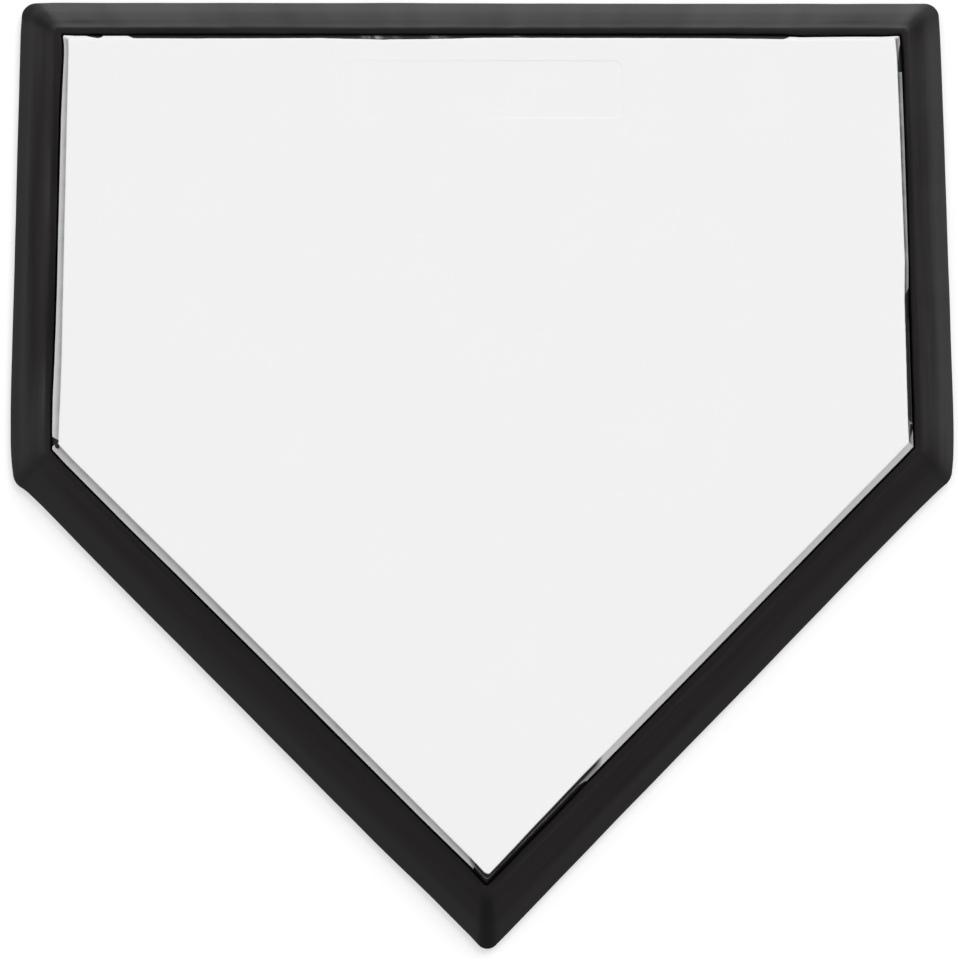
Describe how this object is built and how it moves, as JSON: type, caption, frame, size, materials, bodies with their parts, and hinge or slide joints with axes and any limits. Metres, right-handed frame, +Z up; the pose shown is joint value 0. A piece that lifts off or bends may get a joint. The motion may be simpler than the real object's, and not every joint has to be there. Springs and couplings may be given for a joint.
{
  "type": "home plate",
  "caption": "Pentagonal baseball home plate: white rubber slab in a black bevelled rubber border, clamped on a stiff core with a waffle underside and threaded spike sockets.",
  "frame": {"origin": "centre of the plan box at ground level, under the plate", "axes": "+Z up out of the white face, +Y towards the front edge, the tip at -Y, +X to the right"},
  "size_m": [0.4798, 0.4868, 0.0254],
  "materials": {
    "white_rubber": "smooth satin white rubber",
    "black_rubber": "satin black moulded rubber",
    "plywood": "sanded plywood",
    "steel": "zinc-plated steel",
    "brass": "turned brass"
  },
  "bodies": {
    "root": {"top_plate": "white_rubber", "bevel_border": "black_rubber", "core_board": "plywood", "waffle_mat": "black_rubber", "clamp_bolt_01": "steel", "clamp_bolt_02": "steel", "clamp_bolt_03": "steel", "clamp_bolt_04": "steel", "clamp_bolt_05": "steel", "clamp_bolt_06": "steel", "clamp_bolt_07": "steel", "clamp_bolt_08": "steel", "clamp_bolt_09": "steel", "clamp_bolt_10": "steel", "clamp_bolt_11": "steel", "clamp_bolt_12": "steel", "clamp_bolt_13": "steel", "clamp_bolt_14": "steel", "spike_socket_1": "steel", "spike_socket_2": "steel", "spike_socket_3": "steel", "spike_socket_4": "steel", "spike_socket_5": "steel", "slab_insert_01": "brass", "slab_insert_02": "brass", "slab_insert_03": "brass", "slab_insert_04": "brass", "slab_insert_05": "brass", "slab_insert_06": "brass", "slab_insert_07": "brass", "slab_insert_08": "brass", "slab_insert_09": "brass", "slab_insert_10": "brass", "slab_insert_11": "brass", "slab_insert_12": "brass", "slab_insert_13": "brass", "slab_insert_14": "brass"}
  },
  "joints": []
}
